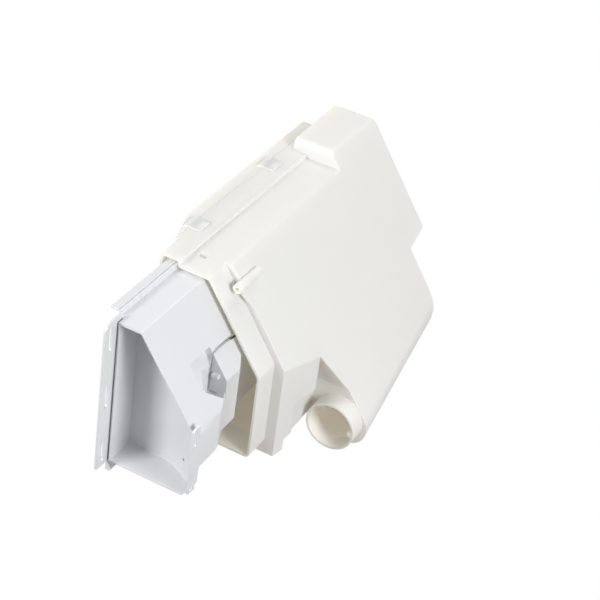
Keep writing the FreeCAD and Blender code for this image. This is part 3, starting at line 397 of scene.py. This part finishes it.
@dataclass(frozen=True)
class SoftEdges:
    """The small rounding that a mould leaves on every edge of a piece.

    Attributes:
        radius_mm: Width of the rounding where its faces leave room for all of it.
        steps: Faces across a rounding.
        crease_deg: Turn between two faces above which their edge is rounded.
        turn_deg: Lean up to which a rounding takes the normal of a face beside it.
        share: Part of the free width beside an edge that its rounding may take.
        least_mm: Width below which an edge stays plain.
        tries: How often the roundings are tested and eased back.
        samples: Points along an edge at which its free width is measured.
        curve_cos: Cosine of the turn above which two sides belong to one curve.
        slant_sin: Sine of the turn above which a side limits its neighbour.
        stray_share: Part of the radius by which a point may leave the solid's surface.
        small_mm2: Size of the largest face whose middle is tested too.
        weld_mm: Distance below which corners of the solid are one.
        flat_deg: Turn below which faces of the solid are one.
        spread_mm: How much farther each try eases back around a fault.
        pass_share: Distance to a fault, in radii, at which an edge passes it closely.
        pass_try: The first try at which edges that pass a fault closely stay plain.
    """

    radius_mm: float
    steps: int = 2
    crease_deg: float = 24.0
    turn_deg: float = 50.0
    share: float = 0.42
    least_mm: float = 0.08
    tries: int = 10
    samples: int = 5
    curve_cos: float = 0.64
    slant_sin: float = 0.25
    stray_share: float = 0.6
    small_mm2: float = 100.0
    weld_mm: float = 0.002
    flat_deg: float = 0.6
    spread_mm: float = 2.0
    pass_share: float = 1.3
    pass_try: int = 2

    def face_room(self, face: bmesh.types.BMFace) -> np.ndarray:
        """Measure how far each edge of a face could move into it.

        Args:
            face: The face to measure.

        Returns:
            The free width beside each edge, in loop order.
        """
        names = np.array([loop.vert.index for loop in face.loops])
        starts = np.array([loop.vert.co for loop in face.loops])
        runs = np.roll(starts, -1, axis=0) - starts
        lengths = np.maximum(np.linalg.norm(runs, axis=1), LEAST_LENGTH)
        ways = runs / lengths[:, None]
        ends = np.roll(names, -1)
        count = len(names)
        room = np.full(count, np.inf)
        for i in range(count):
            points = starts[i] + runs[i] * np.linspace(0.0, 1.0, self.samples)[:, None]
            reach = points[:, None, :] - starts[None, :, :]
            along = np.clip((reach * ways[None]).sum(2), 0.0, lengths[None])
            apart = np.linalg.norm(reach - along[..., None] * ways[None], axis=2).min(axis=0)
            touch = ((names == names[i]) | (names == ends[i])
                     | (ends == names[i]) | (ends == ends[i]))
            turn = ways @ ways[i]
            lean = np.sqrt(np.clip(1.0 - turn * turn, 0.0, 1.0))
            bend = np.sqrt(np.clip((1.0 - turn) / np.maximum(1.0 + turn, LEAST_SUM),
                                   LEAST_BEND, None))
            slide = np.where(turn > self.curve_cos, lengths / (2 * bend),
                             np.where(lean > self.slant_sin, lengths * lean, np.inf))
            apart = np.where(touch, slide, apart)
            apart[i] = np.inf
            room[i] = apart.min()
        return room

    def weigh(self, solid: bmesh.types.BMesh) -> None:
        """Give each sharp edge the share of the rounding that its faces leave room for.

        Args:
            solid: The mesh that takes the weights, and the place of each corner.
        """
        solid.verts.index_update()
        solid.edges.index_update()
        room = np.full(len(solid.edges), np.inf)
        for face in solid.faces:
            for loop, free in zip(face.loops, self.face_room(face)):
                room[loop.edge.index] = min(room[loop.edge.index], free * self.share)
        corner = solid.verts.layers.float_vector.new("corner")
        for vert in solid.verts:
            vert[corner] = vert.co
        weight = solid.edges.layers.float.new("bevel_weight_edge")
        for edge in solid.edges:
            sharp = edge.calc_face_angle(0.0) > math.radians(self.crease_deg)
            free = room[edge.index]
            if sharp and free > self.least_mm * MM:
                edge[weight] = min(1.0, free / (self.radius_mm * MM))

    def add_rounding(self, piece: bpy.types.Object) -> None:
        """Round a piece's edges by their weights, and mark the faces that this makes.

        Args:
            piece: The piece with its weighted edges.
        """
        for _ in Skin:
            piece.data.materials.append(None)
        rounding = piece.modifiers.new("rounding", "BEVEL")
        rounding.material = Skin.TURN.value
        rounding.limit_method = "WEIGHT"
        rounding.width = self.radius_mm * MM
        rounding.segments = self.steps
        rounding.use_clamp_overlap = False
        rounding.loop_slide = False

    def strays(self, rounded: bpy.types.Mesh, skin: BVHTree) -> list[Vector]:
        """Find where a rounding left the solid's own surface or crossed itself.

        Args:
            rounded: The mesh after rounding.
            skin: The surface of the solid.

        Returns:
            The places of those points, and of the corners that they come from.
        """
        corners = [Vector(item.vector) for item in rounded.attributes["corner"].data]
        off = self.stray_share * self.radius_mm * MM
        small = self.small_mm2 * MM * MM
        found = []
        for vert in rounded.vertices:
            if skin.find_nearest(vert.co)[3] > off:
                found.extend((corners[vert.index], vert.co.copy()))
        for face in rounded.polygons:
            if len(face.vertices) > QUAD:
                places = [rounded.vertices[v].co for v in face.vertices]
                found.extend(self.tiles(places, face.normal)[1])
            elif face.area < small and skin.find_nearest(face.center)[3] > off:
                found.extend(corners[v] for v in face.vertices)
        return found

    def passes(self, ends: list[Vector], places: list[Vector]) -> bool:
        """Tell whether an edge runs close by one of some points.

        Args:
            ends: The edge's two ends.
            places: The points.

        Returns:
            True where a point lies within a little more than the rounding.
        """
        for place in places:
            share = min(1.0, max(0.0, intersect_point_line(place, *ends)[1]))
            apart = (ends[0].lerp(ends[1], share) - place).length
            if apart < self.pass_share * self.radius_mm * MM:
                return True
        return False

    def ease(self, piece: bpy.types.Object, skin: BVHTree) -> None:
        """Leave edges plain, try by try, until every rounding keeps to the solid's surface.

        Args:
            piece: The piece, with its rounding not yet turned into mesh.
            skin: The surface of the solid.
        """
        plain = piece.data
        near = KDTree(len(plain.vertices))
        for vert in plain.vertices:
            near.insert(vert.co, vert.index)
        near.balance()
        weights = plain.attributes["bevel_weight_edge"].data
        for step in range(self.tries):
            view = bpy.context.evaluated_depsgraph_get()
            places = self.strays(piece.evaluated_get(view).to_mesh(), skin)
            if not places:
                break
            lost = {near.find(place)[1] for place in places}
            for place in places:
                around = near.find_range(place, step * self.spread_mm * MM)
                lost.update(hit[1] for hit in around)
            log.info("%s: %d corners left plain", piece.name, len(lost))
            for edge in plain.edges:
                ends = [plain.vertices[v].co for v in edge.vertices]
                close = step >= self.pass_try and self.passes(ends, places)
                if close or lost & set(edge.vertices):
                    weights[edge.index].value = 0.0
            plain.update()
            piece.update_tag()

    def soften(self, source: bpy.types.Object, name: str) -> bpy.types.Object:
        """Copy a solid and round its edges, each as far as its own faces leave room.

        Args:
            source: The solid to copy.
            name: The new piece's name.

        Returns:
            The soft-edged piece, smooth shaded.
        """
        solid = bmesh.new()
        solid.from_mesh(source.data)
        bmesh.ops.remove_doubles(solid, verts=solid.verts, dist=self.weld_mm * MM)
        skin = BVHTree.FromBMesh(solid)
        bmesh.ops.dissolve_limit(solid, angle_limit=math.radians(self.flat_deg),
                                 verts=solid.verts, edges=solid.edges)
        self.weigh(solid)
        plain = bpy.data.meshes.new(name)
        solid.to_mesh(plain)
        solid.free()
        piece = place_object(name, plain)
        self.add_rounding(piece)
        self.ease(piece, skin)
        rounded = final_mesh(piece)
        piece.modifiers.clear()
        piece.data = rounded
        self.tile(rounded)
        rounded.attributes.remove(rounded.attributes["corner"])
        self.shade(rounded)
        return piece

    @staticmethod
    def tiles(places: list[Vector], normal: Vector) -> tuple[list[list[int]], list[Vector]]:
        """Divide a face of many sides into even triangles.

        Args:
            places: The face's corners in order.
            normal: The face's normal.

        Returns:
            The triangles as corner numbers, and the points where the outline touches or
            crosses itself. An outline with such points gives no triangles.
        """
        across = normal.orthogonal().normalized()
        over = normal.cross(across)
        start = places[0]
        flat = [Vector(((p - start).dot(across), (p - start).dot(over))) / MM for p in places]
        ring = [(i, (i + 1) % len(flat)) for i in range(len(flat))]
        points, _, found, origins, _, _ = delaunay_2d_cdt(flat, ring, [], INSIDE_ONLY,
                                                          OUTLINE_MEET_MM)
        faults = [start + (across * point.x + over * point.y) * MM
                  for point, origin in zip(points, origins) if len(origin) != 1]
        return ([] if faults else [[origins[i][0] for i in tile] for tile in found]), faults

    def tile(self, mesh: bpy.types.Mesh) -> None:
        """Divide every face of many sides, so that notched faces fill cleanly.

        Args:
            mesh: The mesh whose faces are divided.
        """
        solid = bmesh.new()
        solid.from_mesh(mesh)
        for face in [face for face in solid.faces if len(face.verts) > QUAD]:
            corners = list(face.verts)
            made, _ = self.tiles([v.co for v in corners], face.normal)
            if made:
                skin = face.material_index
                solid.faces.remove(face)
                for tile in made:
                    solid.faces.new([corners[i] for i in tile]).material_index = skin
        bmesh.ops.recalc_face_normals(solid, faces=solid.faces)
        solid.to_mesh(mesh)
        solid.free()

    def shade(self, mesh: bpy.types.Mesh) -> None:
        """Shade each flat by itself, and each rounding as a smooth turn between its flats.

        Args:
            mesh: The rounded mesh, whose faces still say which are roundings.
        """
        ways = [face.normal.copy() for face in mesh.polygons]
        turns = [face.material_index == Skin.TURN.value for face in mesh.polygons]
        around: list[list[int]] = [[] for _ in mesh.vertices]
        for face in mesh.polygons:
            for vert in face.vertices:
                around[vert].append(face.index)
        normals = [Vector()] * len(mesh.loops)
        for face in mesh.polygons:
            turn = turns[face.index]
            least = math.cos(math.radians(self.turn_deg if turn else self.crease_deg))
            for loop, vert in zip(face.loop_indices, face.vertices):
                near = [i for i in around[vert] if ways[i].dot(face.normal) > least]
                near = [i for i in near if not turns[i]] or near
                once = dict.fromkeys(tuple(round(c, NORMAL_DIGITS) for c in ways[i])
                                     for i in near)
                total = sum((Vector(way) for way in once), Vector((0.0, 0.0, 0.0)))
                normals[loop] = total.normalized()
        mesh.polygons.foreach_set("material_index", [Skin.FLAT.value] * len(mesh.polygons))
        mesh.shade_smooth()
        mesh.normals_split_custom_set(normals)


@dataclass
class Moulding:
    """A moulded piece: a soft-edged copy of one solid that stands in its place."""

    node: str
    body: Body
    edges: SoftEdges

    def build(self, material: bpy.types.Material) -> bpy.types.Object:
        """Make the piece and dress it.

        Args:
            material: The plastic it is moulded in.

        Returns:
            The piece, riding on its body.
        """
        piece = self.edges.soften(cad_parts[self.node], f"{self.node}_moulded")
        piece.data.materials.clear()
        piece.data.materials.append(material)
        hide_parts(self.node)
        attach(piece, self.body.value)
        return piece


@dataclass
class Housing:
    """The fixed half: trough with collar and spigot, snap-on cover and spray plate."""

    finish: MouldedPolypropylene = HOUSING_WHITE
    trough_edge_mm: float = 0.9
    cover_edge_mm: float = 0.7
    plate_edge_mm: float = 0.3

    def build(self) -> list[bpy.types.Object]:
        """Make the three mouldings in one white plastic.

        Returns:
            The trough, the cover and the spray plate.
        """
        material = self.finish.make()
        edges = {"housing_trough": self.trough_edge_mm, "housing_cover": self.cover_edge_mm,
                 "spray_plate": self.plate_edge_mm}
        return [Moulding(node, Body.HOUSING, SoftEdges(radius)).build(material)
                for node, radius in edges.items()]


@dataclass
class Drawer:
    """The sliding half: drawer with its compartments and the siphon cap."""

    finish: MouldedPolypropylene = DRAWER_GREY
    drawer_edge_mm: float = 0.7
    cap_edge_mm: float = 0.35

    def build(self) -> list[bpy.types.Object]:
        """Make the two mouldings in one pale grey plastic.

        Returns:
            The drawer and the siphon cap.
        """
        material = self.finish.make()
        edges = {"drawer_body": self.drawer_edge_mm, "siphon_cap": self.cap_edge_mm}
        return [Moulding(node, Body.DRAWER, SoftEdges(radius)).build(material)
                for node, radius in edges.items()]


@dataclass
class CatchWire:
    """The spring wire on the drawer's sloping side, with the sleeve on its tip.

    Attributes:
        route_mm: Control points of the wire's middle line, from the sleeved tip on.
        route_order: Order of the curve through them.
        route_steps: Lengths that the curve has between two of them.
        round_steps: Fineness of the wire's round section.
        sleeve_grip: Sleeve's bore as a part of the wire, so that the two touch.
        sleeve_round_mm: Width of the rounding at the sleeve's ends.
        sleeve_mid_mm: How far the middle of that rounding lies inside the corner.
        weld_mm: Distance below which points of the wire are one.
    """

    steel: DrawnSteel = WIRE_STEEL
    rubber: ExtrudedRubber = SLEEVE_RUBBER
    radius_mm: float = 0.65
    route_mm: tuple[Point, ...] = (
        (37.0, 2.0, 29.31), (37.0, -9.0, 30.98), (37.0, -21.5, 32.4), (36.6, -34.6, 31.9),
        (22.0, -35.4, 32.2), (-3.2, -35.4, 32.2), (-6.2, -35.4, 32.2), (-6.3, -35.4, 29.2),
        (-6.4, -35.4, 16.8))
    route_order: int = 3
    route_steps: int = 12
    round_steps: int = 5
    sleeve_radius_mm: float = 1.0
    sleeve_length_mm: float = 8.0
    sleeve_sides: int = 24
    sleeve_grip: float = 0.98
    sleeve_round_mm: float = 0.25
    sleeve_mid_mm: float = 0.08
    weld_mm: float = 0.001

    def wire_mesh(self) -> bpy.types.Mesh:
        """Draw the wire as one round bar along its smooth route.

        Returns:
            The bar's mesh, closed at both ends.
        """
        curve = bpy.data.curves.new("catch_wire_route", "CURVE")
        curve.dimensions = "3D"
        curve.bevel_depth = self.radius_mm * MM
        curve.bevel_resolution = self.round_steps
        curve.resolution_u = self.route_steps
        curve.use_fill_caps = True
        spline = curve.splines.new("NURBS")
        spline.points.add(len(self.route_mm) - 1)
        for point, place in zip(spline.points, self.route_mm):
            point.co = (*(Vector(place) * MM), 1.0)
        spline.order_u = self.route_order
        spline.use_endpoint_u = True
        bar = place_object("catch_wire_route", curve)
        mesh = final_mesh(bar)
        bpy.data.objects.remove(bar)
        return mesh

    def add_sleeve(self, solid: bmesh.types.BMesh) -> None:
        """Turn the sleeve's profile about the wire's tip.

        Args:
            solid: The mesh that takes the sleeve, as its second material.
        """
        outer, inner = self.sleeve_radius_mm, self.radius_mm * self.sleeve_grip
        long, edge, mid = self.sleeve_length_mm, self.sleeve_round_mm, self.sleeve_mid_mm
        profile = ((inner, 0.0), (outer - edge, 0.0), (outer - mid, mid), (outer, edge),
                   (outer, long - edge), (outer - mid, long - mid), (outer - edge, long),
                   (inner, long))
        tip, after = Vector(self.route_mm[0]), Vector(self.route_mm[1])
        axis = (after - tip).normalized()
        side = axis.orthogonal().normalized()
        over = axis.cross(side)
        rings = []
        for step in range(self.sleeve_sides):
            angle = 2 * math.pi * step / self.sleeve_sides
            way = side * math.cos(angle) + over * math.sin(angle)
            rings.append([solid.verts.new((tip + axis * run + way * off) * MM)
                          for off, run in profile])
        for ring, beside in zip(rings, rings[1:] + rings[:1]):
            for i in range(len(profile)):
                j = (i + 1) % len(profile)
                face = solid.faces.new((ring[i], ring[j], beside[j], beside[i]))
                face.material_index = 1
                face.smooth = True

    def build(self) -> list[bpy.types.Object]:
        """Make the wire with its sleeve and dress both.

        Returns:
            The one piece, riding on the drawer.
        """
        solid = bmesh.new()
        solid.from_mesh(self.wire_mesh())
        bmesh.ops.remove_doubles(solid, verts=solid.verts, dist=self.weld_mm * MM)
        for face in solid.faces:
            face.smooth = len(face.verts) == QUAD
        self.add_sleeve(solid)
        bmesh.ops.recalc_face_normals(solid, faces=solid.faces)
        mesh = bpy.data.meshes.new("catch_wire_bent")
        solid.to_mesh(mesh)
        solid.free()
        mesh.materials.append(self.steel.make())
        mesh.materials.append(self.rubber.make())
        piece = place_object("catch_wire_bent", mesh)
        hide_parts("catch_wire")
        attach(piece, Body.DRAWER.value)
        return [piece]


@dataclass(frozen=True)
class SoftLamp:
    """A square lamp behind a diffuser, facing the piece.

    Attributes:
        way: Direction from the piece to the lamp.
        away: Distance to the lamp, in metres.
        width: Side of the diffuser, in metres.
    """

    name: str
    way: Point
    watts: float
    away: float = 1.6
    width: float = 0.8

    def hang(self, middle: Vector) -> None:
        """Hang the lamp.

        Args:
            middle: The place that it faces.
        """
        data = bpy.data.lights.new(self.name, "AREA")
        data.size = self.width
        data.energy = self.watts
        lamp = place_object(self.name, data)
        way = Vector(self.way).normalized()
        lamp.location = middle + way * self.away
        lamp.rotation_euler = (-way).to_track_quat("-Z", "Y").to_euler()


@dataclass
class Studio:
    """Pale floor, white surround, soft lamps and the camera of the view.

    Attributes:
        floor_drop: Depth of the floor below the origin, in metres.
        floor_reach: Half of the floor's side, in metres.
        surround: Light of the white surround on the piece, where 1 is what the eye sees.
        middle: The place that the lamps face.
        eye: The camera's place, with its axes in right, up and back.
        nearest: Distance at which the camera starts to see, in metres.
        farthest: Distance at which it ends.
    """

    floor_finish: PaintedBoard = FLOOR_WHITE
    floor_drop: float = 2.4
    floor_reach: float = 8.0
    surround: float = 0.29
    middle: Point = (0.0, 0.1, 0.03)
    lamps: tuple[SoftLamp, ...] = (
        SoftLamp("front_softbox", (0.44, -0.78, 0.45), 14.8, width=0.4),
        SoftLamp("under_softbox", (0.46, -0.3, -0.83), 18.8, width=0.6),
        SoftLamp("rear_softbox", (0.87, 0.48, 0.1), 2.5, away=1.0, width=0.4),
        SoftLamp("top_softbox", (-0.3, 0.2, 0.93), 11.0))
    eye: Point = (1.0507, -1.2274, -0.5794)
    right: Point = (0.11949, 0.47935, -0.86945)
    up: Point = (0.80972, 0.45970, 0.36473)
    back: Point = (0.57453, -0.74759, -0.33321)
    lens_mm: float = 108.0
    sensor_mm: float = 36.0
    nearest: float = 0.05
    farthest: float = 50.0

    def white_surround(self) -> None:
        """Light the scene evenly and show plain white behind it."""
        world = bpy.data.worlds.new("white_surround")
        bpy.context.scene.world = world
        world.use_nodes = True
        tree = world.node_tree
        tree.nodes.clear()
        path = add_node(tree, "ShaderNodeLightPath")
        seen = path.outputs["Is Camera Ray"]
        for ray in ("Is Glossy Ray", "Is Transmission Ray"):
            seen = add_node(tree, "ShaderNodeMath", {"operation": "MAXIMUM"},
                            links={0: seen, 1: path.outputs[ray]}).outputs[0]
        strength = add_node(tree, "ShaderNodeMapRange",
                            values={"To Min": self.surround, "To Max": 1.0},
                            links={"Value": seen})
        glow = add_node(tree, "ShaderNodeBackground", values={"Color": (1.0, 1.0, 1.0, 1.0)},
                        links={"Strength": strength.outputs["Result"]})
        add_node(tree, "ShaderNodeOutputWorld", links={"Surface": glow.outputs["Background"]})

    def floor(self) -> None:
        """Lay a pale floor well below the piece."""
        mesh = bpy.data.meshes.new("pale_floor")
        reach = self.floor_reach
        corners = [(-reach, -reach), (reach, -reach), (reach, reach), (-reach, reach)]
        mesh.from_pydata([(x, y, -self.floor_drop) for x, y in corners], [], [(0, 1, 2, 3)])
        plane = place_object("pale_floor", mesh)
        mesh.materials.append(self.floor_finish.make())

    def camera(self) -> None:
        """Set the camera at the view's place, with its long lens."""
        data = bpy.data.cameras.new("view")
        data.lens = self.lens_mm
        data.sensor_width = self.sensor_mm
        data.clip_start = self.nearest
        data.clip_end = self.farthest
        camera = place_object("view", data)
        axes = Matrix((self.right, self.up, self.back)).transposed()
        camera.matrix_world = Matrix.Translation(Vector(self.eye)) @ axes.to_4x4()
        bpy.context.scene.camera = camera

    def build(self) -> None:
        """Set up the whole stage."""
        self.white_surround()
        self.floor()
        for lamp in self.lamps:
            lamp.hang(Vector(self.middle))
        self.camera()
        bpy.context.scene.view_settings.view_transform = "Standard"


def main() -> None:
    """Build the sub-assemblies in order, report each piece, then set the stage."""
    logging.basicConfig(level=logging.INFO, format="%(message)s")
    for assembly in (Housing(), Drawer(), CatchWire()):
        for piece in assembly.build():
            log.info("%s: %d faces", piece.name, len(piece.data.polygons))
    Studio().build()


if __name__ == "__main__":
    main()
